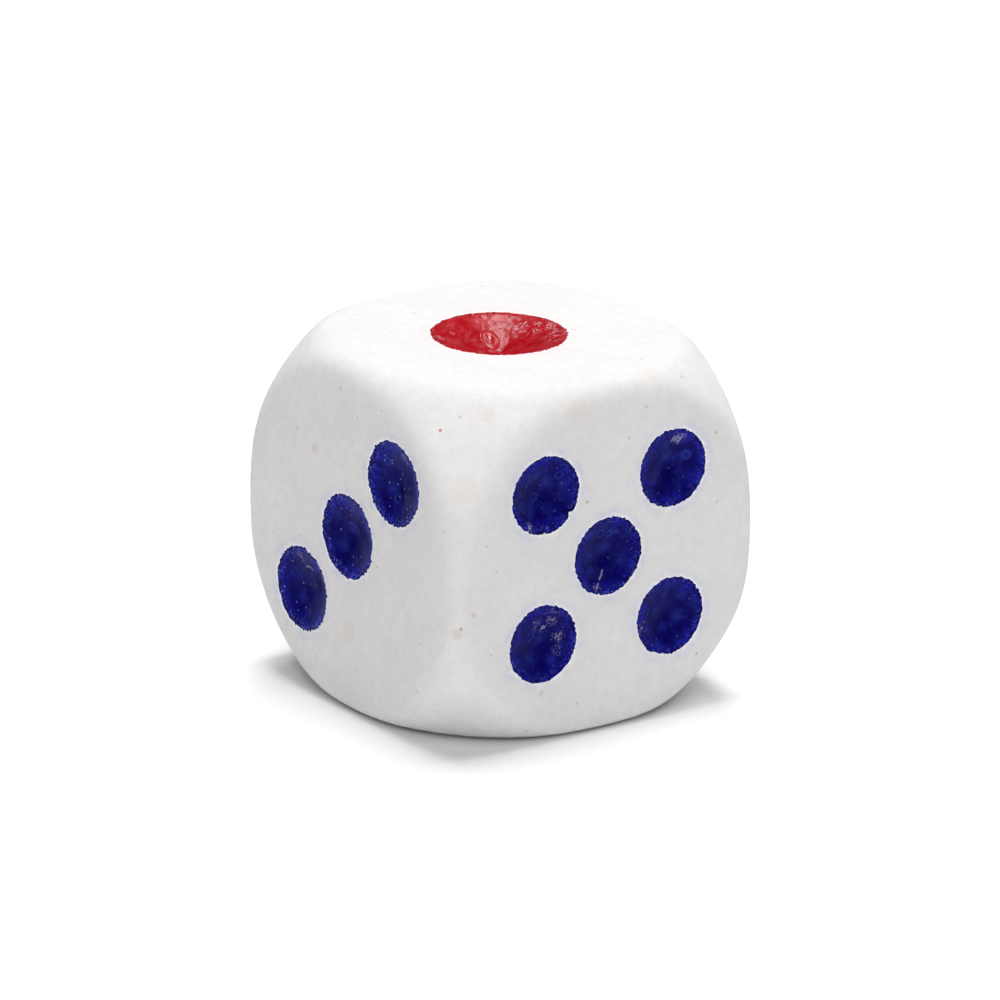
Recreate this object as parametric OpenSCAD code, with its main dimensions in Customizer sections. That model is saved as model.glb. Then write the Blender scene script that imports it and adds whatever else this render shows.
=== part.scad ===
// White gaming die of the small round-cornered kind: one moulded block, a pit drilled for each pip,
// and a dried enamel fill in every pit. Opposite faces add up to seven.
// The origin is the centre of the block. One is on top (+Z), five in front (-Y) and three at the left (-X).

/* [Block] */
// Distance between opposite faces
edge = 14; // [10:0.5:20]
// Diameter of the ball that trims the corners, as a share of the edge
corner_ball = 1.38; // [1.35:0.005:1.39]
// Radius of the tumbled round at the rim of each face, as a share of the edge
rim_round = 0.04; // [0.01:0.005:0.04]

/* [Pits] */
// Diameter of a pit of the four, the five and the six at the face, as a share of the edge
many_size = 0.221; // [0.18:0.001:0.23]
// Diameter of a pit of the two and the three at the face, as a share of the edge
few_size = 0.237; // [0.18:0.001:0.24]
// Diameter of the large pit of the one, as a share of the edge
ace_size = 0.375; // [0.3:0.005:0.42]
// Distance from the middle line of a face to a corner pip, as a share of the edge
pip_reach = 0.212; // [0.19:0.002:0.214]
// Distance between neighbouring pips of the six along a row, as a share of the edge
six_step = 0.25; // [0.24:0.002:0.252]
// Point angle of the drill that cuts the pits
drill_angle = 140; // [118:1:150]

/* [Drilling errors] */
// Sideways error of the one, as a share of the edge
one_shift_x = -0.005; // [-0.01:0.001:0.01]
// Sideways error of the three, as a share of the edge
three_shift_x = -0.002; // [-0.01:0.001:0.01]
// Upward error of the three, as a share of the edge
three_shift_y = 0.008; // [-0.01:0.001:0.01]
// Sideways error of the five, as a share of the edge
five_shift_x = 0.01; // [-0.01:0.001:0.01]
// Upward error of the five, as a share of the edge
five_shift_y = 0.003; // [-0.01:0.001:0.01]

/* [Enamel] */
// Width of the thin flush lip that the enamel leaves at the rim of a pit
lip = 0.03; // [0.02:0.01:0.06]
// Depth of the enamel that pooled on the pit's tip
pool = 0.16; // [0.08:0.01:0.2]

/* [Hidden] */
$fn = 96;
half = edge / 2;
ball_r = corner_ball * half;
// Beyond this radius the rounds of two neighbouring faces would meet.
largest_rim = (half - ball_r / sqrt(2)) / (1 - 1 / sqrt(2));
rim_r = min(rim_round * edge, 0.98 * largest_rim);
// Height and radius of the circle that the rounding ball's centre follows on the +Z face.
rim_centre_z = half - rim_r;
rim_centre_r = sqrt(pow(ball_r - rim_r, 2) - pow(rim_centre_z, 2));
clearance = 0.5;
// Radius gained per millimetre of depth along a pit's wall.
wall_run = tan(drill_angle / 2);
tip_r = 0.08;

pip = pip_reach * edge;
row = six_step * edge;
many_d = many_size * edge;
few_d = few_size * edge;
ace_d = ace_size * edge;

white = [0.93, 0.92, 0.90];
blue = [0.07, 0.09, 0.50];
red = [0.76, 0.06, 0.13];

diagonal_up = [[pip, pip], [-pip, -pip]];
diagonal_down = [[-pip, pip], [pip, -pip]];
corners = concat(diagonal_up, diagonal_down);
middle = [[0, 0]];
columns = [for (x = [-pip, pip]) for (y = [row, 0, -row]) [x, y]];

// One face each: name, turn that points +Z out of the face, pit diameter, colour, drilling error, pips.
// Seen from outside the block, the pips' first value runs to the right and the second one upwards.
FACES = [
    ["one", [0, 0, 0], ace_d, red, [one_shift_x, 0], middle],
    ["two", [90, 0, 180], few_d, blue, [0, 0], diagonal_down],
    ["three", [90, 0, -90], few_d, blue, [three_shift_x, three_shift_y], concat(diagonal_up, middle)],
    ["four", [90, 0, 90], many_d, red, [0, 0], corners],
    ["five", [90, 0, 0], many_d, blue, [five_shift_x, five_shift_y], concat(corners, middle)],
    ["six", [180, 0, 0], many_d, blue, [0, 0], columns]
];

function pip_count(face) = len(face[5]);
function enamel_name(face, i) =
    pip_count(face) == 1 ? str(face[0], "_enamel") : str(face[0], "_enamel_", i + 1);
function pit_depth(d) = (d / 2 - tip_r) / wall_run;

// Puts its children at one pip of a face, with +Z pointing out of the face and z = 0 on it.
module at_pip(face, i) {
    shift = face[4] * edge;
    rotate(face[1]) translate([face[5][i][0] + shift[0], face[5][i][1] + shift[1], half]) children();
}

// What is taken off round the rim of the +Z face: all that lies outside the rounding ball.
module rim_waste() {
    slope = rim_centre_z / rim_centre_r;
    far_r = ball_r + clearance;
    rotate_extrude() difference() {
        polygon([
            [rim_centre_r, rim_centre_z],
            [far_r, far_r * slope],
            [far_r, far_r],
            [rim_centre_r, far_r]
        ]);
        translate([rim_centre_r, rim_centre_z]) circle(r = rim_r);
    }
}

// The hollow that the drill leaves, running a little past the face.
module pit(d) {
    depth = pit_depth(d);
    translate([0, 0, -depth])
        cylinder(h = depth + clearance, r1 = tip_r, r2 = d / 2 + clearance * wall_run);
}

// The solid block with its corners trimmed by the ball and its rims rounded.
module tumbled_block() {
    difference() {
        intersection() {
            cube(edge, center = true);
            sphere(r = ball_r);
        }
        for (face = FACES) rotate(face[1]) rim_waste();
    }
}

module die_body() {
    color(white) difference() {
        tumbled_block();
        for (face = FACES) for (i = [0 : pip_count(face) - 1]) at_pip(face, i) pit(face[2]);
    }
}

// The dried fill of one pit: flush and thin at the rim, thicker down the wall and pooled on the tip.
module enamel(d, paint) {
    depth = pit_depth(d);
    pool_r = tip_r + pool * wall_run / 2;
    color(paint) rotate_extrude() polygon([
        [0, -depth],
        [tip_r, -depth],
        [d / 2, 0],
        [d / 2 - lip, 0],
        [pool_r, pool - depth],
        [0, pool - depth]
    ]);
}

die_body();
for (face = FACES) for (i = [0 : pip_count(face) - 1])
    at_pip(face, i) enamel(face[2], face[3]);
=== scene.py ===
import math

import bpy
import numpy as np
from mathutils import Matrix, Vector
from mathutils.geometry import delaunay_2d_cdt


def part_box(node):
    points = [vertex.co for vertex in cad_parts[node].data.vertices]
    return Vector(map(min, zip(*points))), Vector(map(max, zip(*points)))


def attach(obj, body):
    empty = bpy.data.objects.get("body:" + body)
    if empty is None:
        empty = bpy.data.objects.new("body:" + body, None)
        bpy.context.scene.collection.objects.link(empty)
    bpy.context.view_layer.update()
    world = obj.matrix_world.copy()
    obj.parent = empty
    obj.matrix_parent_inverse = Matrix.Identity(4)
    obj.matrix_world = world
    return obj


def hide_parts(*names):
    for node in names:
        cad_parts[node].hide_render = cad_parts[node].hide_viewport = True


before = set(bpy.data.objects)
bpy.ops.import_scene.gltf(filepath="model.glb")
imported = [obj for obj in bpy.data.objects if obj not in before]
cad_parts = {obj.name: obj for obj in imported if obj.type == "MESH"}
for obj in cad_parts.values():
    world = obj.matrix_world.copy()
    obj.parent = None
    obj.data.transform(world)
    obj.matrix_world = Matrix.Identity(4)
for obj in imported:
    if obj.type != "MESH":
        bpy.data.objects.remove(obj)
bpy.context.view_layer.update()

# The view. A long lens looks down on the corner between the three, the five and the one,
# from far enough away that the block's edges stay almost parallel.
MM = 0.001
lowest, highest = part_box("die_body")
centre = (lowest + highest) / 2
half = (highest.x - lowest.x) / 2 / MM

view_turn = math.radians(-35.89)
view_rise = math.radians(19.16)
view_roll = math.radians(0.95)
view_distance = 58.9 * half * MM
lens_mm = 388.0
sensor_mm = 36.0

back = Vector((
    math.sin(view_turn) * math.cos(view_rise),
    -math.cos(view_turn) * math.cos(view_rise),
    math.sin(view_rise),
))
level_right = Vector((0, 0, 1)).cross(back).normalized()
level_up = back.cross(level_right)
right = level_right * math.cos(view_roll) + level_up * math.sin(view_roll)
up = back.cross(right)
# The die sits a touch left of the middle and a touch below it.
aim = centre + right * 0.0132 * half * MM + up * 0.0356 * half * MM

lens = bpy.data.cameras.new("view")
lens.lens = lens_mm
lens.sensor_width = sensor_mm
lens.clip_start = 0.01
lens.clip_end = 20.0
camera = bpy.data.objects.new("view", lens)
bpy.context.scene.collection.objects.link(camera)
turn = Matrix((right, up, back)).transposed().to_4x4()
camera.matrix_world = Matrix.Translation(aim + back * view_distance) @ turn
bpy.context.scene.camera = camera


# The block: one piece of white filled moulding compound, tumbled until its rims are soft and its
# skin is chalky. Its corners follow a ball, its faces stay flat, and a pit is drilled for each pip.
faces = {
    "one": (Vector((1, 0, 0)), Vector((0, 1, 0))),
    "two": (Vector((-1, 0, 0)), Vector((0, 0, 1))),
    "three": (Vector((0, -1, 0)), Vector((0, 0, 1))),
    "four": (Vector((0, 1, 0)), Vector((0, 0, 1))),
    "five": (Vector((1, 0, 0)), Vector((0, 0, 1))),
    "six": (Vector((1, 0, 0)), Vector((0, -1, 0))),
}
ball_share = 1.408
rim_hardness = 44.0
# The tumbling wore the upper edges most, the lower ones less and the right-hand side least. A
# zone of wear fades in from the block's middle plane towards one side.
zone_gain = 1.4
upright_fade = 1.6
left_upright_fade = 1.8
left_upright_height = 0.15
edge_hardness = 24.0
upper_softening = 7.0
lower_hardness = 24.0
right_hardness = 60.0
upright_hardness = 50.0
left_hardness = 18.0
right_spare = 0.015
upright_spare = 0.016
lower_left_wear = 0.016
# The upper front corner is worn further than the others.
worn_corner = np.array([-1, -1, 1]) / math.sqrt(3)
corner_wear = 0.030
corner_start = 0.72
corner_span = 0.26
skin_step = 0.14
rim_step = 0.058
collar = 0.09
clear_of_rim = 0.17
# The drill's point leaves a cone of 140 degrees. Its wall is laid in rings, as shares of the rim.
wall_run = math.tan(math.radians(70))
wall_rings = (0.94, 0.55)
tip_radius = 0.08
rim_round = 0.018
rim_wear = 0.0036
rough_wear = 1.5
broad_nicks = 9
broad_wear = 1.6
finest_nick = 0.16
rough_rims = ("two", "three")
# Where a rim has a plug of compound left standing in it: angle, width and depth.
rim_bites = {
    "five_enamel_3": [(-38, 0.13, 0.09), (-122, 0.08, 0.04), (-90, 0.10, 0.04)],
    "five_enamel_5": [(-106, 0.05, 0.06)],
    "five_enamel_1": [(172, 0.10, 0.04)],
}


def face_axes(face):
    across, upward = (np.array(v) for v in faces[face])
    return across, upward, np.cross(across, upward)


def zone(lean):
    """How far a direction leans into a zone of wear, from 0 to 1."""
    return np.clip(zone_gain * lean, 0, 1)


def tumbled(points):
    """Moves points, given in millimetres from the centre, along their rays onto the worn block."""
    length = np.linalg.norm(points, axis=1, keepdims=True)
    ray = points / length
    x, y, z = ray.T
    high = zone(z)
    low = zone(-z)
    right_side = zone(x) * (1 - high)
    upright = zone(x) * np.clip(1 - upright_fade * np.abs(z), 0, 1)
    left_band = np.clip(1 - left_upright_fade * np.abs(z - left_upright_height), 0, 1)
    left_upright = zone(y) * zone(-x) * left_band
    lower_left = zone(-x) * np.clip(1 + zone_gain * y, 0, 1) * low
    hard = edge_hardness - upper_softening * high + lower_hardness * low
    hard += right_hardness * right_side + upright_hardness * upright + left_hardness * left_upright
    cube = (np.abs(ray) ** hard[:, None]).sum(axis=1) ** (1 / hard)
    wear = np.clip((ray @ worn_corner - corner_start) / corner_span, 0, 1)
    ball = ball_share + right_spare * right_side + upright_spare * upright
    ball -= lower_left_wear * lower_left + corner_wear * wear ** 2 * (3 - 2 * wear)
    reach = (cube ** rim_hardness + ball ** -rim_hardness) ** (-1 / rim_hardness)
    return ray * (reach * half)[:, None]


def on_face(face, flat, depth):
    """Places flat face coordinates, at a depth below the worn surface, in space. Millimetres."""
    across, upward, outward = face_axes(face)
    plane = flat[:, :1] * across + flat[:, 1:2] * upward + half * outward
    return tumbled(plane) - np.asarray(depth).reshape(-1, 1) * outward


def ripples(points, wavelength, seed, waves=40):
    """Smooth random relief of one grain size, from about -1 to 1."""
    draw = np.random.default_rng(seed)
    heading = draw.normal(size=(waves, points.shape[1]))
    heading /= np.linalg.norm(heading, axis=1, keepdims=True)
    stretch = draw.uniform(0.75, 1.35, waves)
    phase = draw.uniform(0, 2 * math.pi, waves)
    swing = points @ (heading * (2 * math.pi / wavelength * stretch)[:, None]).T + phase
    return np.cos(swing).sum(axis=1) * (0.7 / math.sqrt(waves / 2))


class Pit:
    """Where one pit is: its face, the middle and radius of its mouth, and its ragged rim."""

    def __init__(self, node):
        low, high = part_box(node)
        self.node = node
        self.face = node.split("_")[0]
        across, upward, outward = face_axes(self.face)
        middle = (np.array(low) + np.array(high)) / 2 / MM
        size = (np.array(high) - np.array(low)) / MM
        self.middle = np.array([middle @ across, middle @ upward])
        self.radius = abs(size @ np.abs(across)) / 2
        self.depth = (self.radius - tip_radius) / wall_run
        self.seed = sum(ord(letter) * (7 + i) for i, letter in enumerate(node))
        draw = np.random.default_rng(self.seed)
        self.turns = np.arange(3, int(self.radius * 2 * math.pi / finest_nick))
        wear = rim_wear * (rough_wear if self.face in rough_rims else 1.0)
        self.swing = wear * draw.uniform(0.3, 1.3, len(self.turns))
        self.swing *= np.where(self.turns < broad_nicks, broad_wear, 1.0)
        self.phase = draw.uniform(0, 2 * math.pi, len(self.turns))

    def rag(self, angle):
        """How far the worn rim strays from a true circle at an angle."""
        wave = self.swing[:, None] * np.cos(self.turns[:, None] * angle[None, :] + self.phase[:, None])
        stray = wave.sum(axis=0)
        for at, width, bite in rim_bites.get(self.node, []):
            off = (angle - math.radians(at) + math.pi) % (2 * math.pi) - math.pi
            stray = stray - bite * np.exp(-(off * self.radius / width) ** 2)
        return stray

    def rim(self, angle):
        return self.radius + self.rag(angle)

    def polar(self, flat):
        out = flat - self.middle
        return np.hypot(out[:, 0], out[:, 1]), np.arctan2(out[:, 1], out[:, 0])

    def share(self, flat):
        """Distance from the pit's middle as a share of the rim there."""
        distance, angle = self.polar(flat)
        return distance / self.rim(angle)

    def loop(self, count, grow=0.0, scale=1.0):
        angle = np.linspace(0, 2 * math.pi, count, endpoint=False)
        r = self.rim(angle) * scale + grow
        return self.middle + np.column_stack([r * np.cos(angle), r * np.sin(angle)])


pits = [Pit(node) for node in sorted(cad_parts) if node != "die_body"]


def rim_count(pit):
    return int(pit.radius * 2 * math.pi / rim_step)


def lattice(low, high, step):
    """Points in a honeycomb layout that fills a rectangle."""
    rows = np.arange(low[1] + step / 2, high[1], step * math.sqrt(3) / 2)
    rows_out = []
    for i, y in enumerate(rows):
        x = np.arange(low[0] + step * (0.5 if i % 2 else 1.0), high[0] - step * 0.25, step)
        rows_out.append(np.column_stack([x, np.full(len(x), y)]))
    return np.vstack(rows_out)


def net(groups, loops):
    """Joins points into triangles, keeping the closed loops as edges. Returns points, triangles and
    the place of each given point in the result."""
    points = np.vstack(groups)
    starts = np.cumsum([0] + [len(group) for group in groups])
    edges = []
    for g in loops:
        n = len(groups[g])
        edges += [(starts[g] + i, starts[g] + (i + 1) % n) for i in range(n)]
    edges = [(int(a), int(b)) for a, b in edges]
    found = delaunay_2d_cdt([Vector(p) for p in points], edges, [], 0, 1e-6)
    corner = np.array([tuple(v) for v in found[0]])
    triangles = np.array(found[2])
    place = {}
    for new, sources in enumerate(found[3]):
        for source in sources:
            place[source] = new
    return corner, triangles, [[place[int(starts[g]) + i] for i in range(len(groups[g]))] for g in loops]


def within(points, loop):
    """Which points lie inside a closed loop."""
    x, y = points[:, :1], points[:, 1:]
    x1, y1 = loop.T
    x2, y2 = np.roll(loop, -1, axis=0).T
    crossing = (y1 > y) != (y2 > y)
    rise = np.where(y2 == y1, 1.0, y2 - y1)
    reach = x1 + (y - y1) / rise * (x2 - x1)
    return ((x < reach) & crossing).sum(axis=1) % 2 == 1


def drilled_wall(pit, ring, spots, fit=1.0, lift=0.0):
    """The cone of a pit, from a ring of spots at its rim down to the drill's tip. A piece that lies
    in the pit fits a little inside the cone and lies a little above it."""
    n = len(ring)
    wall = []
    for scale in (*wall_rings, tip_radius / pit.radius):
        turn_flat = pit.loop(n, scale=scale * fit)
        drop = rim_round + np.full(n, (1 - scale) * pit.radius / wall_run) - lift
        start = len(spots)
        spots = np.vstack([spots, on_face(pit.face, turn_flat, drop)])
        fresh = list(range(start, start + n))
        for i in range(n):
            j = (i + 1) % n
            wall += [(ring[i], fresh[i], fresh[j]), (ring[i], fresh[j], ring[j])]
        ring = fresh
    tip = len(spots)
    tip_depth = pit.depth + rim_round - lift
    spots = np.vstack([spots, on_face(pit.face, pit.middle[None, :], [tip_depth])])
    wall += [(ring[i], tip, ring[(i + 1) % n]) for i in range(n)]
    return spots, wall


def face_skin(face):
    """One face of the block, out to the block's edges, with its drilled pits."""
    own = [pit for pit in pits if pit.face == face]
    steps = int(round(2 * half / skin_step))
    side = np.linspace(-half, half, steps, endpoint=False)
    full = np.full(steps, half)
    border = np.vstack([
        np.column_stack([side, -full]),
        np.column_stack([full, side]),
        np.column_stack([-side, full]),
        np.column_stack([-full, -side]),
    ])
    inner = lattice((-half, -half), (half, half), skin_step)
    groups = [border]
    loops = [0]
    for pit in own:
        distance, angle = pit.polar(inner)
        inner = inner[distance > pit.rim(angle) + clear_of_rim]
        loops.append(len(groups))
        groups += [pit.loop(rim_count(pit)), pit.loop(rim_count(pit), grow=rim_round)]
        groups.append(pit.loop(rim_count(pit) * 2 // 3, grow=collar))
    groups.append(inner)
    flat, triangles, placed = net(groups, loops)
    middle = flat[triangles].mean(axis=1)
    keep = np.ones(len(triangles), bool)
    depth = np.zeros(len(flat))
    for ring in placed[1:]:
        bridging = np.isin(triangles, ring).all(axis=1)
        keep[bridging] &= ~within(middle[bridging], flat[ring])
        depth[ring] = rim_round
    triangles = triangles[keep]
    spots = on_face(face, flat, depth)
    walls = []
    for pit, ring in zip(own, placed[1:], strict=True):
        spots, wall = drilled_wall(pit, ring, spots)
        walls += wall
    return spots, np.vstack([triangles, np.array(walls)])


def piece_mesh(name, spots, triangles):
    mesh = bpy.data.meshes.new(name)
    mesh.from_pydata((spots * MM).tolist(), [], triangles.tolist())
    mesh.validate()
    mesh.polygons.foreach_set("use_smooth", np.ones(len(mesh.polygons), bool))
    mesh.update()
    piece = bpy.data.objects.new(name, mesh)
    bpy.context.scene.collection.objects.link(piece)
    return piece


def mark_points(piece, name, values):
    layer = piece.data.attributes.new(name, "FLOAT", "POINT")
    layer.data.foreach_set("value", np.asarray(values, np.float32))


def wind_outwards(spots, triangles, outward):
    """Turns every triangle so that it faces the way its spot on the block does."""
    a, b, c = (spots[triangles[:, i]] for i in range(3))
    inward = (np.cross(b - a, c - a) * outward).sum(axis=1) < 0
    triangles[inward] = triangles[inward][:, ::-1]
    return triangles


def weld(spots, triangles):
    """Joins the spots that lie within a ten-thousandth of a millimetre of each other."""
    key = np.round(spots, 4)
    _, first, back_to = np.unique(key, axis=0, return_index=True, return_inverse=True)
    return spots[first], back_to.reshape(-1)[triangles]


all_spots = []
all_triangles = []
offset = 0
for face in faces:
    spots, triangles = face_skin(face)
    outward = face_axes(face)[2]
    triangles = wind_outwards(spots, triangles, outward[None, :])
    all_spots.append(spots)
    all_triangles.append(triangles + offset)
    offset += len(spots)
skin, skin_triangles = weld(np.vstack(all_spots), np.vstack(all_triangles))
flawed = (
    (skin_triangles[:, 0] == skin_triangles[:, 1])
    | (skin_triangles[:, 1] == skin_triangles[:, 2])
    | (skin_triangles[:, 2] == skin_triangles[:, 0])
)
skin_triangles = skin_triangles[~flawed]

# Wear: broad waviness, chalky grain and small knocks, all cut inwards from the tumbled shape.
wave_depth = 0.006
coarse_grain = 0.0030
fine_grain = 0.0022
skin_cut = 0.004
knock_count = 150
smallest_knock = 0.10
largest_knock = 0.30
knock_depth = 0.07
ray = skin / np.linalg.norm(skin, axis=1, keepdims=True)
wave = wave_depth * (1 + ripples(skin, 5.0, 11)) / 2
grain = coarse_grain * ripples(skin, 0.75, 12) + fine_grain * ripples(skin, 0.42, 13)
knocks = np.zeros(len(skin))
draw = np.random.default_rng(21)
for _ in range(knock_count):
    aim_ray = draw.normal(size=3)
    spot = tumbled(aim_ray[None, :])[0]
    size = draw.uniform(smallest_knock, largest_knock)
    gap = np.linalg.norm(skin - spot, axis=1) / size
    knocks += size * knock_depth * np.clip(1 - gap ** 2, 0, None) ** 2
cut = np.clip(wave + grain + knocks + skin_cut, 0, None)
skin = skin - ray * cut[:, None]

# Around each pit the paint has seeped into the skin, in an outline close to the rim and a fainter
# bleed that runs further. A pale ring along the rim is partly rubbed bare chalk and partly a painted
# highlight where the rim catches the light.
outline_share = 0.55
outline_out = 0.13
outline_width = 0.14
bleed_share = 0.42
bleed_reach = 0.40
pale_ring_out = 0.025
pale_ring_width = 0.062
block = piece_mesh("tumbled_block", skin, skin_triangles)
stain = {"blue": np.zeros(len(skin)), "red": np.zeros(len(skin))}
rim_chalk_and_highlight = np.zeros(len(skin))
red_faces = ("one", "four")
for pit in pits:
    across, upward, outward = face_axes(pit.face)
    near = skin @ outward > half * 0.9
    flat = np.column_stack([skin[near] @ across, skin[near] @ upward])
    distance, angle = pit.polar(flat)
    gap = distance - pit.rim(angle)
    seep = 0.75 + 0.45 * ripples(skin[near], 0.9, 31)
    halo = outline_share * np.exp(-((gap - outline_out) / outline_width) ** 2)
    halo += bleed_share * np.exp(-np.clip(gap, 0, None) / bleed_reach)
    kind = "red" if pit.face in red_faces else "blue"
    stain[kind][near] = np.maximum(stain[kind][near], np.clip(halo * seep, 0, 1))
    # The pale ring at the rim: partly rubbed chalk, partly a painted highlight of the rim.
    rubbed_and_lit = np.exp(-((gap - pale_ring_out) / pale_ring_width) ** 2)
    rim_chalk_and_highlight[near] = np.maximum(rim_chalk_and_highlight[near], rubbed_and_lit)
mark_points(block, "blue_stain", stain["blue"])
mark_points(block, "red_stain", stain["red"])
mark_points(block, "rim_chalk_and_highlight", rim_chalk_and_highlight)


class Recipe:
    """A short way to lay out one material's nodes."""

    def __init__(self, name):
        self.material = bpy.data.materials.new(name)
        self.material.use_nodes = True
        self.tree = self.material.node_tree
        self.tree.nodes.clear()
        self.skin = self.tree.nodes.new("ShaderNodeBsdfPrincipled")
        out = self.tree.nodes.new("ShaderNodeOutputMaterial")
        self.tree.links.new(self.skin.outputs[0], out.inputs[0])
        place = self.tree.nodes.new("ShaderNodeTexCoord")
        scale = self.tree.nodes.new("ShaderNodeMapping")
        scale.inputs["Scale"].default_value = (1000, 1000, 1000)
        self.tree.links.new(place.outputs["Object"], scale.inputs["Vector"])
        self.millimetres = scale.outputs["Vector"]

    def put(self, socket, value):
        if isinstance(value, bpy.types.NodeSocket):
            self.tree.links.new(value, socket)
        else:
            socket.default_value = value

    def noise(self, scale, detail=3.0, rough=0.55, warp=0.0):
        node = self.tree.nodes.new("ShaderNodeTexNoise")
        self.put(node.inputs["Vector"], self.millimetres)
        self.put(node.inputs["Scale"], scale)
        self.put(node.inputs["Detail"], detail)
        self.put(node.inputs["Roughness"], rough)
        self.put(node.inputs["Distortion"], warp)
        return node.outputs["Fac"]

    def cells(self, scale):
        node = self.tree.nodes.new("ShaderNodeTexVoronoi")
        self.put(node.inputs["Vector"], self.millimetres)
        self.put(node.inputs["Scale"], scale)
        return node.outputs["Distance"]

    def span(self, value, low, high, to_low=0.0, to_high=1.0):
        node = self.tree.nodes.new("ShaderNodeMapRange")
        node.interpolation_type = "SMOOTHSTEP"
        self.put(node.inputs["Value"], value)
        for socket, number in zip(("From Min", "From Max", "To Min", "To Max"),
                                  (low, high, to_low, to_high), strict=True):
            self.put(node.inputs[socket], number)
        return node.outputs["Result"]

    def maths(self, how, a, b=0.0):
        node = self.tree.nodes.new("ShaderNodeMath")
        node.operation = how
        self.put(node.inputs[0], a)
        self.put(node.inputs[1], b)
        return node.outputs[0]

    def mix(self, share, a, b):
        node = self.tree.nodes.new("ShaderNodeMix")
        node.data_type = "RGBA"
        self.put(node.inputs["Factor"], share)
        for socket, colour in ((node.inputs[6], a), (node.inputs[7], b)):
            self.put(socket, colour if isinstance(colour, bpy.types.NodeSocket) else (*colour, 1))
        return node.outputs[2]

    def marked(self, name):
        node = self.tree.nodes.new("ShaderNodeAttribute")
        node.attribute_name = name
        return node.outputs["Fac"]

    def spot(self, middle, radius):
        """1 at a place on the object, in millimetres, fading to 0 at the radius."""
        node = self.tree.nodes.new("ShaderNodeVectorMath")
        node.operation = "DISTANCE"
        self.put(node.inputs[0], self.millimetres)
        self.put(node.inputs[1], middle)
        return self.span(node.outputs["Value"], radius * 0.35, radius, 1.0, 0.0)

    def relief(self, height, distance, strength):
        node = self.tree.nodes.new("ShaderNodeBump")
        self.put(node.inputs["Height"], height)
        self.put(node.inputs["Distance"], distance)
        self.put(node.inputs["Strength"], strength)
        self.put(self.skin.inputs["Normal"], node.outputs["Normal"])


# Dirt that tumbling and handling left in the skin. Each speck has a place, in millimetres from the
# block's middle, a radius, a strength and a tint.
grey_dirt = (0.42, 0.39, 0.38)
brown_dirt = (0.45, 0.27, 0.15)
warm_dirt = (0.80, 0.66, 0.58)
red_dirt = (0.42, 0.05, 0.06)
specks = [
    ((-6.3, -4.9, 5.7), 0.09, 0.75, red_dirt),
    ((-5.6, -5.2, 6.2), 0.08, 0.45, grey_dirt),
    ((-7.0, 0.6, 5.9), 0.12, 0.30, grey_dirt),
    ((-7.0, 3.4, 3.5), 0.11, 0.40, grey_dirt),
    ((-7.0, 2.2, 3.0), 0.30, 0.16, brown_dirt),
    ((-4.8, -5.8, 6.3), 0.45, 0.35, warm_dirt),
    ((6.6, 1.4, 6.8), 0.12, 0.40, grey_dirt),
    ((2.2, -5.0, 7.0), 0.08, 0.40, grey_dirt),
    ((1.8, -7.0, 5.7), 0.08, 0.50, grey_dirt),
    ((1.0, -7.0, 4.6), 0.08, 0.45, grey_dirt),
    ((3.8, -6.4, 6.3), 0.09, 0.45, grey_dirt),
    ((5.1, -6.9, 4.0), 0.11, 0.40, brown_dirt),
    ((-1.4, -6.9, 6.1), 0.55, 0.30, warm_dirt),
    ((2.4, -6.5, 6.8), 0.50, 0.25, warm_dirt),
    ((-6.5, -6.8, -1.6), 0.10, 0.65, brown_dirt),
    ((-6.6, -6.7, -1.8), 0.30, 0.22, brown_dirt),
    ((-6.0, -6.9, -1.1), 0.14, 0.30, brown_dirt),
    ((-7.0, -0.1, -3.7), 0.55, 0.10, brown_dirt),
    ((4.4, -6.9, -4.7), 0.10, 0.55, grey_dirt),
    ((-2.9, -7.0, -4.9), 0.16, 0.30, grey_dirt),
    ((-3.3, -6.6, -6.4), 0.12, 0.35, grey_dirt),
    ((-0.9, -7.0, 2.4), 0.10, 0.60, grey_dirt),
    ((-6.3, -6.5, 3.7), 0.60, 0.22, warm_dirt),
    ((6.9, 2.1, 3.8), 0.10, 0.50, grey_dirt),
    ((2.6, 6.9, -1.5), 0.12, 0.45, brown_dirt),
    ((0.9, 7.0, 4.6), 0.09, 0.45, grey_dirt),
    ((3.1, 3.9, -7.0), 0.13, 0.40, grey_dirt),
]

chalk = Recipe("chalky_white")
cloud = chalk.span(chalk.noise(0.34, 2.0), 0.35, 0.65)
mottle = chalk.span(chalk.noise(2.6, 3.0, 0.6), 0.34, 0.66)
speckle = chalk.span(chalk.noise(9.0, 2.0, 0.7), 0.30, 0.70)
tone = chalk.mix(cloud, (0.80, 0.795, 0.79), (0.83, 0.825, 0.82))
tone = chalk.mix(chalk.maths("MULTIPLY", mottle, 0.5), tone, (0.745, 0.74, 0.742))
tone = chalk.mix(chalk.maths("MULTIPLY", speckle, 0.35), tone, (0.86, 0.855, 0.85))
tone = chalk.mix(chalk.maths("MULTIPLY", chalk.marked("blue_stain"), 0.46), tone, (0.54, 0.55, 0.80))
tone = chalk.mix(chalk.maths("MULTIPLY", chalk.marked("red_stain"), 0.34), tone, (0.92, 0.50, 0.53))
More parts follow.
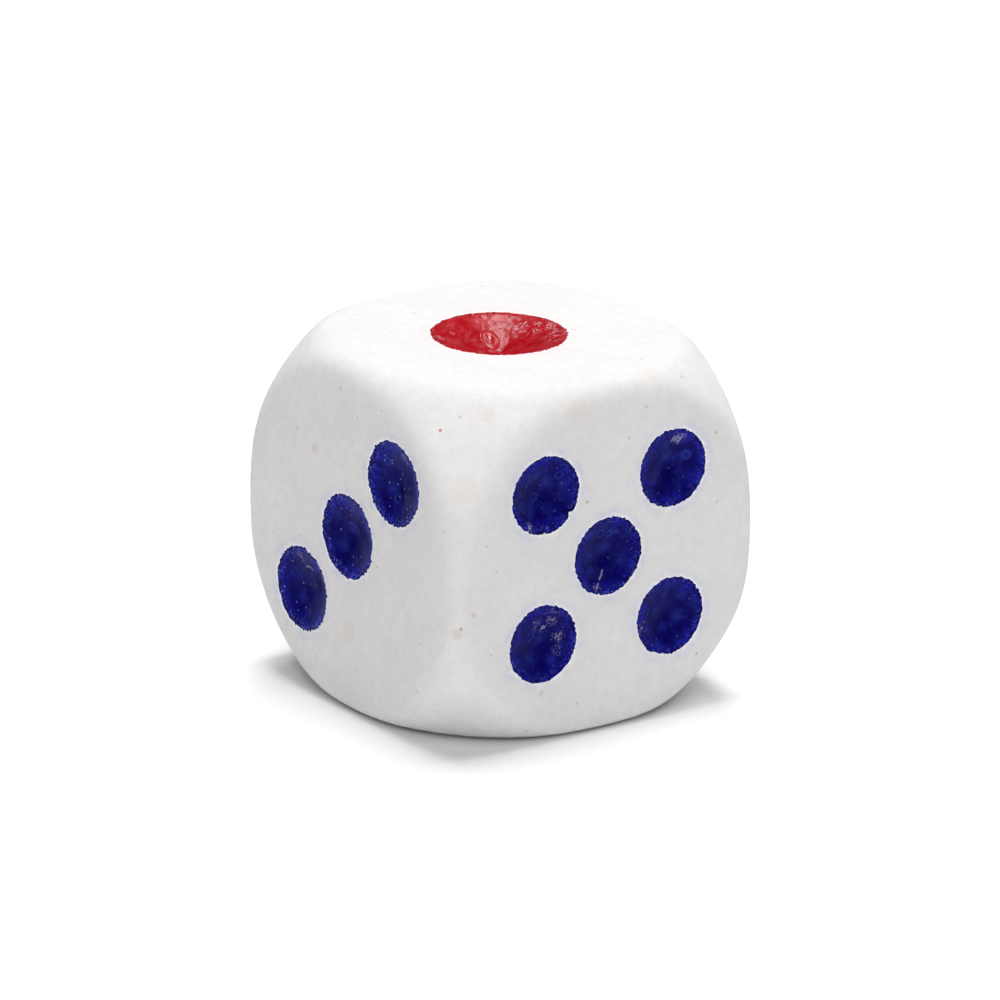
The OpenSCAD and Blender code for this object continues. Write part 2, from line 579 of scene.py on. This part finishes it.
# A paler ring along each rim, partly rubbed chalk and partly a painted highlight of the rim.
fringe = chalk.span(chalk.noise(6.5, 2.0, 0.6), 0.36, 0.60, 0.35, 1.0)
tone = chalk.mix(chalk.maths("MULTIPLY", chalk.marked("rim_chalk_and_highlight"), fringe), tone, (0.97, 0.97, 1.0))
pepper = chalk.span(chalk.cells(0.9), 0.035, 0.055, 1.0, 0.0)
tone = chalk.mix(chalk.maths("MULTIPLY", pepper, 0.45), tone, grey_dirt)
for place, radius, strength, tint in specks:
    on_skin = tumbled(np.array([place]))[0] * 0.999
    tone = chalk.mix(chalk.maths("MULTIPLY", chalk.spot(tuple(on_skin), radius), strength), tone, tint)
chalk.put(chalk.skin.inputs["Base Color"], tone)
chalk.put(chalk.skin.inputs["Roughness"], chalk.span(mottle, 0.0, 1.0, 0.62, 0.78))
chalk.put(chalk.skin.inputs["Specular IOR Level"], 0.22)
chalk.relief(chalk.noise(7.0, 4.0, 0.72), 0.00005, 0.6)
block.data.materials.append(chalk.material)
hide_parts("die_body")
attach(block, "root")


# The enamel fills: paint flooded into every pit and wiped off the face, dried to a film that is
# thin at the ragged rim and pooled on the drill's tip, with burst bubbles and scuffs.
film_shy = 0.022
film_thick = 0.03
pool_depth = 0.05
pool_soft = 0.022
# The nicks of the rim fade this far in, and the film reaches its full thickness this far in.
nick_fade = 0.11
film_run = 0.25
fine_step = 0.042
coarse_step = 0.06
lattice_margin = 0.2
seen_faces = ("one", "three", "five")
# Relief of the dried film, and the marks on it.
film_wave = 0.0035
film_grain = 0.0025
relief_inset = 0.12
ring_height = 0.022
wide_ring = 0.2
wide_ring_height = 0.06
wide_ring_stretch = 1.6
stroke_half = 0.06
stroke_height = 0.02
stroke_bare = 0.04
# A fill lies just inside the drilled cone and just above it.
cone_fit = 0.998
gap_to_wall = 0.004


def dried_depth(pit, distance, angle):
    """Depth of the paint's surface below the face. The nicks of the rim fade a short way in."""
    inset = np.clip(pit.radius - distance, 0, None)
    fade = np.exp(-(inset / nick_fade) ** 2)
    along = np.clip(pit.radius - distance + pit.rag(angle) * fade, 0, None)
    sink = film_shy + along / wall_run - film_thick * np.clip(inset / film_run, 0, 1)
    floor_depth = pit.depth - pool_depth
    return -pool_soft * np.log(np.exp(-sink / pool_soft) + np.exp(-floor_depth / pool_soft))


def bump_dome(gap, radius, height):
    return height * np.clip(1 - (gap / radius) ** 2, 0, None) ** 1.5


def bump_ring(gap, radius, height):
    """A raised ring with a hollow in it, as a burst bubble leaves."""
    lip = height * np.exp(-((gap - radius) / (radius * 0.33)) ** 2)
    hollow = height * 0.8 * np.exp(-(gap / (radius * 0.5)) ** 2)
    return lip - hollow


def stroke_gap(flat, a, b):
    """Distance of points from the straight line between two places."""
    a, b = np.array(a), np.array(b)
    along = np.clip(((flat - a) @ (b - a)) / ((b - a) @ (b - a)), 0, 1)
    return np.linalg.norm(flat - a - along[:, None] * (b - a), axis=1)


# Marks on the fills that face the view, in millimetres from the middle of the pit. Pale blots,
# rings of burst bubbles, domes of whole ones and bare scuffs are (x, y, radius). A stroke is a
# scratch from one place to another, (x, y, x, y).
details = {
    "five_enamel_3": {
        "blots": [(-0.55, -0.75, 0.20), (0.20, 0.45, 0.22), (-0.30, 0.75, 0.16), (0.95, 0.20, 0.18)],
        "rings": [(-0.26, -0.10, 0.13), (-0.64, 0.50, 0.11), (0.72, 0.64, 0.14)],
        "domes": [(0.55, -0.10, 0.06), (0.80, -0.15, 0.06), (0.60, -0.36, 0.06), (0.82, -0.34, 0.05)],
        "scuffs": [(-0.72, -1.15, 0.22), (0.0, -1.40, 0.20)],
        "strokes": [],
    },
    "five_enamel_2": {
        "blots": [(-0.40, -0.55, 0.20), (0.15, 0.05, 0.16), (0.55, -0.80, 0.20)],
        "rings": [(-0.36, 0.27, 0.17), (-0.08, 0.84, 0.14)],
        "domes": [(-0.72, 0.20, 0.06)],
        "scuffs": [
            (0.42, 0.92, 0.40), (-0.25, 0.66, 0.32), (0.25, 0.62, 0.30), (0.85, 0.10, 0.26),
            (0.80, -0.45, 0.20),
        ],
        "strokes": [],
    },
    "five_enamel_5": {
        "blots": [
            (-0.73, 0.06, 0.22), (0.16, 0.21, 0.22), (0.30, 0.85, 0.18), (0.75, -0.45, 0.16),
            (-0.70, -0.55, 0.15),
        ],
        "rings": [(-0.25, 0.89, 0.14), (0.16, 0.80, 0.12)],
        "domes": [(0.62, 0.25, 0.05)],
        "scuffs": [(-0.46, -1.20, 0.20)],
        "strokes": [
            (-0.05, -0.66, -0.14, -0.80), (-0.14, -0.80, -0.26, -0.94),
            (-0.36, -1.08, -0.46, -1.24),
        ],
    },
    "five_enamel_4": {
        "blots": [
            (-0.43, 0.14, 0.24), (-0.10, 0.75, 0.16), (0.65, 0.60, 0.18), (0.55, -0.25, 0.18),
            (-0.15, -0.55, 0.18),
        ],
        "rings": [],
        "domes": [(0.29, -0.48, 0.07), (-0.50, -1.14, 0.07), (0.90, -0.30, 0.06)],
        "scuffs": [(-1.18, -0.28, 0.26)],
        "strokes": [],
    },
    "five_enamel_1": {
        "blots": [
            (0.77, 0.32, 0.22), (-0.05, 0.35, 0.24), (-0.20, 0.85, 0.20), (0.40, -0.85, 0.18),
            (-0.75, -0.45, 0.16),
        ],
        "rings": [(0.77, 0.32, 0.15)],
        "domes": [(-0.85, 0.48, 0.07)],
        "scuffs": [(0.37, 1.11, 0.32)],
        "strokes": [(0.10, 1.20, 0.02, 1.02), (0.28, 1.24, 0.16, 1.00), (0.42, 1.12, 0.34, 0.94)],
    },
    "three_enamel_1": {
        "blots": [
            (-0.66, 0.68, 0.26), (-0.51, -0.39, 0.24), (0.30, -0.95, 0.20),
            (-0.95, 0.20, 0.18), (-0.15, 1.10, 0.18),
        ],
        "rings": [(-0.66, 0.68, 0.15), (-0.11, -0.65, 0.16)],
        "domes": [(-1.01, -0.09, 0.06), (-0.15, 0.10, 0.07), (0.66, -0.03, 0.06), (0.52, -0.12, 0.05)],
        "scuffs": [(0.57, 1.10, 0.26)],
        "strokes": [],
    },
    "three_enamel_3": {
        "blots": [
            (-0.26, 0.15, 0.24), (-0.90, 0.65, 0.20), (0.10, 0.95, 0.20), (-0.55, -0.60, 0.20),
            (0.60, -0.20, 0.16),
        ],
        "rings": [(0.65, 0.86, 0.12), (0.92, 0.54, 0.10)],
        "domes": [(-0.26, 0.15, 0.08), (0.36, -0.84, 0.07)],
        "scuffs": [],
        "strokes": [],
    },
    "three_enamel_2": {
        "blots": [
            (-0.55, 0.25, 0.28), (0.25, 0.20, 0.22), (-0.35, -0.55, 0.22), (0.60, 0.95, 0.20),
            (0.15, -0.95, 0.20),
        ],
        "rings": [],
        "domes": [(0.40, -0.30, 0.08)],
        "scuffs": [(-0.26, 1.15, 0.26)],
        "strokes": [(-0.10, 0.80, 0.13, 0.88), (0.13, 0.88, 0.36, 0.80)],
    },
    "one_enamel": {
        "blots": [(-1.60, 0.75, 0.35), (0.50, 1.95, 0.22), (0.22, 1.77, 0.16), (-0.30, -1.60, 0.30)],
        "rings": [(0.26, 0.94, 0.22)],
        "domes": [(0.53, 2.10, 0.13), (-0.10, 0.37, 0.09), (1.43, 0.95, 0.09), (-1.05, 1.60, 0.10)],
        "scuffs": [
            (1.65, 1.00, 0.42), (1.90, 0.72, 0.42), (1.41, 0.55, 0.36), (1.81, 0.23, 0.42),
            (2.22, 0.02, 0.44), (1.92, -0.92, 0.48), (1.73, -1.38, 0.46), (2.22, 0.36, 0.38),
            (2.20, -0.45, 0.42), (-2.05, 1.00, 0.30),
        ],
        "strokes": [(0.19, 0.82, 0.34, 1.08)],
    },
}


def random_details(pit):
    """Bubbles and scuffs for a fill on a side that the view doesn't reach."""
    draw = np.random.default_rng(pit.seed + 5)

    def spots(count, low, high):
        found = []
        for _ in range(count):
            angle = draw.uniform(0, 2 * math.pi)
            out = pit.radius * math.sqrt(draw.uniform(0.02, 0.7))
            found.append((out * math.cos(angle), out * math.sin(angle), draw.uniform(low, high)))
        return found

    return {
        "blots": spots(int(draw.integers(3, 7)), 0.15, 0.28),
        "rings": spots(int(draw.integers(0, 4)), 0.11, 0.17),
        "domes": spots(int(draw.integers(1, 4)), 0.05, 0.08),
        "scuffs": spots(int(draw.integers(0, 3)), 0.20, 0.38),
        "strokes": [],
    }


def enamel_fill(pit, material):
    """A closed piece of dried paint: a finely modelled top on a cone that lies in the pit."""
    step = fine_step if pit.face in seen_faces else coarse_step
    reach = pit.radius + lattice_margin
    inner = lattice(pit.middle - reach, pit.middle + reach, step)
    distance, angle = pit.polar(inner)
    inner = inner[distance < pit.rim(angle) - step * 0.9]
    flat, triangles, placed = net([pit.loop(rim_count(pit)), inner], [0])
    share = np.clip(pit.share(flat), 0, 1)
    bridging = np.isin(triangles, placed[0]).all(axis=1)
    keep = np.ones(len(triangles), bool)
    keep[bridging] = within(flat[triangles[bridging]].mean(axis=1), flat[placed[0]])
    triangles = triangles[keep]
    local = flat - pit.middle
    distance, angle = pit.polar(flat)
    depth = dried_depth(pit, distance, angle)
    inside = np.clip((1 - share) * pit.radius / relief_inset, 0, 1)
    height = film_wave * ripples(local, 0.9, pit.seed) + film_grain * ripples(local, 0.35, pit.seed + 1)
    marks = details.get(pit.node) or random_details(pit)
    scuffed = np.zeros(len(flat))
    paler = 0.15 + 0.25 * ripples(local, 0.9, pit.seed + 2) + 0.15 * ripples(local, 0.3, pit.seed + 3)
    for x, y, radius in marks["rings"]:
        # A wide blister is drawn out along the slope that it ran down.
        wide = radius > wide_ring
        away = np.array([x, y]) / math.hypot(x, y)
        along = (local - (x, y)) @ away / (wide_ring_stretch if wide else 1.0)
        gap = np.hypot(along, (local - (x, y)) @ np.array([-away[1], away[0]]))
        height += bump_ring(gap, radius, wide_ring_height if wide else ring_height)
        paler += 1.5 * np.exp(-((gap - radius) / (radius * 0.30)) ** 2)
        paler -= 0.6 * np.exp(-(gap / (radius * 0.5)) ** 2)
    for x, y, radius in marks["blots"]:
        gap = np.hypot(local[:, 0] - x, local[:, 1] - y)
        paler += 0.9 * np.exp(-(gap / radius) ** 2)
    for x, y, radius in marks["domes"]:
        gap = np.hypot(local[:, 0] - x, local[:, 1] - y)
        height += bump_dome(gap, radius, radius * 0.5)
        # The paler colour over each dome is a painted highlight, its glint; the dome itself is modelled.
        paler += 1.2 * np.exp(-(gap / radius) ** 2)
    for x, y, radius in marks["scuffs"]:
        gap = np.hypot(local[:, 0] - x, local[:, 1] - y)
        scuffed = np.maximum(scuffed, np.clip(1.2 - gap / radius, 0, 1))
    stroke = np.zeros(len(flat))
    for x1, y1, x2, y2 in marks["strokes"]:
        gap = stroke_gap(local, (x1, y1), (x2, y2))
        height += bump_dome(gap, stroke_half, stroke_height)
        stroke = np.maximum(stroke, np.clip(1.2 - gap / stroke_bare, 0, 1))
    depth = np.clip(depth - height * inside, film_shy * 0.5, None)
    top = on_face(pit.face, flat, depth)
    spots, under = drilled_wall(pit, placed[0], top, fit=cone_fit, lift=gap_to_wall)
    outward = face_axes(pit.face)[2]
    triangles = wind_outwards(spots, triangles, outward[None, :])
    under = wind_outwards(spots, np.array(under), -outward[None, :])
    piece = piece_mesh(pit.node.replace("enamel", "paint"), spots, np.vstack([triangles, under]))
    pad = len(spots) - len(flat)
    mark_points(piece, "inwards", np.concatenate([1 - share, np.ones(pad)]))
    fray = 1.0 if pit.face in rough_rims else 0.45
    mark_points(piece, "frayed", np.full(len(spots), fray))
    mark_points(piece, "scuffed", np.concatenate([scuffed, np.zeros(pad)]))
    mark_points(piece, "stroke", np.concatenate([stroke, np.zeros(pad)]))
    mark_points(piece, "paler", np.concatenate([np.clip(paler, 0, 2.0), np.zeros(pad)]))
    piece.data.materials.append(material)
    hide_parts(pit.node)
    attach(piece, "root")


def enamel_recipe(name, deep, bright, pale, frayed_tone, bare_and_glint, shine, thread):
    """Dried pit paint: deep and mottled, paler over bubbles, with bare threads; its pricks of light, the
    dots along the rim and the paler colour on domes are painted highlights.
    """
    paint = Recipe(name)
    inwards = paint.marked("inwards")
    drift = paint.noise(1.3, 2.0, 0.55)
    grain = paint.span(paint.noise(5.0, 4.0, 0.7, 0.5), 0.40, 0.60)
    edge_share = paint.span(inwards, 0.02, 0.50, 1.0, 0.15)
    blend_share = paint.maths("MULTIPLY", edge_share, paint.span(drift, 0.38, 0.62, 0.30, 1.15))
    blend_share = paint.maths("MULTIPLY", blend_share, paint.span(grain, 0.0, 1.0, 0.15, 1.35))
    tone = paint.mix(blend_share, deep, bright)
    tone = paint.mix(paint.maths("MULTIPLY", paint.marked("paler"), 0.34), tone, pale)
    dashes = paint.span(paint.noise(11.0, 2.0, 0.6, 0.6), 0.50, 0.62)
    frayed = paint.maths("MULTIPLY", dashes, paint.span(inwards, 0.05, 0.28, 1.0, 0.0))
    frayed = paint.maths("MULTIPLY", frayed, paint.marked("frayed"))
    tone = paint.mix(paint.maths("MULTIPLY", frayed, 0.8), tone, frayed_tone)
    swirl = paint.maths("SUBTRACT", paint.noise(thread, 2.0, 0.6, 1.0), 0.5)
    threads = paint.span(paint.maths("ABSOLUTE", swirl), 0.015, 0.065, 1.0, 0.0)
    torn = paint.span(paint.noise(thread * 0.55, 3.0, 0.7), 0.42, 0.58)
    bare_and_glint_share = paint.maths("MULTIPLY", paint.maths("MULTIPLY", threads, torn), paint.marked("scuffed"))
    bare_and_glint_share = paint.maths("MAXIMUM", bare_and_glint_share, paint.maths("MULTIPLY", paint.marked("stroke"), 0.9))
    # Pricks of light and dots along the rim are painted glints, mixed in with the bare threads and
    # strokes.
    pricks = paint.span(paint.cells(3.4), 0.07, 0.15, 0.6, 0.0)
    pricks = paint.maths("MULTIPLY", pricks, paint.span(paint.marked("frayed"), 0.3, 1.0, 0.25, 1.0))
    bare_and_glint_share = paint.maths("MAXIMUM", bare_and_glint_share, pricks)
    rim_dots = paint.span(paint.cells(6.0), 0.12, 0.22, 1.0, 0.0)
    rim_dots = paint.maths("MULTIPLY", rim_dots, paint.span(inwards, 0.015, 0.10, 0.7, 0.0))
    bare_and_glint_share = paint.maths("MAXIMUM", bare_and_glint_share, rim_dots)
    tone = paint.mix(paint.maths("MULTIPLY", bare_and_glint_share, 0.75), tone, bare_and_glint)
    paint.put(paint.skin.inputs["Base Color"], tone)
    paint.put(paint.skin.inputs["Roughness"], paint.span(drift, 0.3, 0.7, shine[0], shine[1]))
    paint.put(paint.skin.inputs["Specular IOR Level"], shine[2])
    paint.relief(paint.noise(12.0, 3.0, 0.6), 0.000012, 0.5)
    return paint.material


blue_enamel = enamel_recipe(
    "blue_enamel",
    deep=(0.0024, 0.0010, 0.085),
    bright=(0.0065, 0.0045, 0.27),
    pale=(0.022, 0.040, 0.34),
    frayed_tone=(0.070, 0.100, 0.55),
    bare_and_glint=(0.45, 0.42, 0.60),
    shine=(0.28, 0.40, 0.040),
    thread=6.0,
)
red_enamel = enamel_recipe(
    "red_enamel",
    deep=(0.37, 0.0015, 0.006),
    bright=(0.46, 0.004, 0.013),
    pale=(0.62, 0.085, 0.105),
    frayed_tone=(0.50, 0.050, 0.065),
    bare_and_glint=(0.68, 0.46, 0.54),
    shine=(0.14, 0.22, 0.20),
    thread=3.4,
)
for pit in pits:
    if pit.face in red_faces:
        enamel_fill(pit, red_enamel)
    else:
        enamel_fill(pit, blue_enamel)


# The table: a seamless sheet of pale matt paper that runs far past the die on every side. It isn't
# part of the die. Its lights are placed so that only the die's own shadow shows on it.
floor_mesh = bpy.data.meshes.new("table")
reach = 3.0
table_z = lowest.z
corners = [(-reach, -reach), (reach, -reach), (reach, reach), (-reach, reach)]
floor_mesh.from_pydata([(x, y, table_z) for x, y in corners], [], [(0, 1, 2, 3)])
table = bpy.data.objects.new("table", floor_mesh)
bpy.context.scene.collection.objects.link(table)
paper = Recipe("pale_paper")
paper.put(paper.skin.inputs["Base Color"], (0.92, 0.92, 0.92, 1))
paper.put(paper.skin.inputs["Roughness"], 0.9)
paper.put(paper.skin.inputs["Specular IOR Level"], 0.1)
table.data.materials.append(paper.material)


# The light: soft boxes overhead, in front, behind and to the right of the die, in a dim even room.
# The one straight overhead does most of the work, so the shadow stays short and soft.
def soft_box(name, place, side, power, tint=(1, 1, 1)):
    lamp = bpy.data.lights.new(name, "AREA")
    lamp.shape = "SQUARE"
    lamp.size = side
    lamp.energy = power
    lamp.color = tint
    box = bpy.data.objects.new(name, lamp)
    bpy.context.scene.collection.objects.link(box)
    box.location = place
    box.rotation_euler = (centre - Vector(place)).to_track_quat("-Z", "Y").to_euler()


away = Vector((-back.x, -back.y, 0)).normalized()
aside = level_right


def from_view(turn, rise, distance):
    """A place seen from the die: turned from straight behind it towards the right, and raised."""
    turn, rise = math.radians(turn), math.radians(rise)
    flat_way = away * math.cos(turn) + aside * math.sin(turn)
    return centre + (flat_way * math.cos(rise) + Vector((0, 0, 1)) * math.sin(rise)) * distance


soft_box("top", from_view(0, 88, 1.0), 0.35, 6.6)
soft_box("dome", from_view(0, 84, 1.0), 1.1, 1.6)
soft_box("back", from_view(0, 57, 1.0), 0.17, 1.2)
soft_box("front_high", from_view(180, 50, 1.0), 0.6, 2.9, (1.0, 0.98, 0.97))
soft_box("front_low", from_view(180, 22, 1.0), 0.5, 1.35, (1.0, 0.97, 0.96))
soft_box("right", from_view(75, 40, 1.0), 0.5, 0.15, (0.65, 0.75, 1.0))
soft_box("back_left", from_view(-40, 28, 1.0), 0.5, 0.6)
soft_box("back_right", from_view(40, 28, 1.0), 0.5, 2.3, (0.98, 0.98, 1.0))

room = bpy.data.worlds.new("room")
room.use_nodes = True
sky = room.node_tree.nodes["Background"]
sky.inputs["Color"].default_value = (1, 1, 1, 1)
sky.inputs["Strength"].default_value = 0.02
# Where a view looks past the table it sees a pale backdrop, which throws no light on the die.
backdrop = room.node_tree.nodes.new("ShaderNodeBackground")
backdrop.inputs["Color"].default_value = (0.93, 0.93, 0.93, 1)
looked_at = room.node_tree.nodes.new("ShaderNodeLightPath").outputs["Is Camera Ray"]
choice = room.node_tree.nodes.new("ShaderNodeMixShader")
room.node_tree.links.new(looked_at, choice.inputs[0])
room.node_tree.links.new(sky.outputs[0], choice.inputs[1])
room.node_tree.links.new(backdrop.outputs[0], choice.inputs[2])
room.node_tree.links.new(choice.outputs[0], room.node_tree.nodes["World Output"].inputs["Surface"])
bpy.context.scene.world = room
bpy.context.scene.view_settings.view_transform = "Standard"
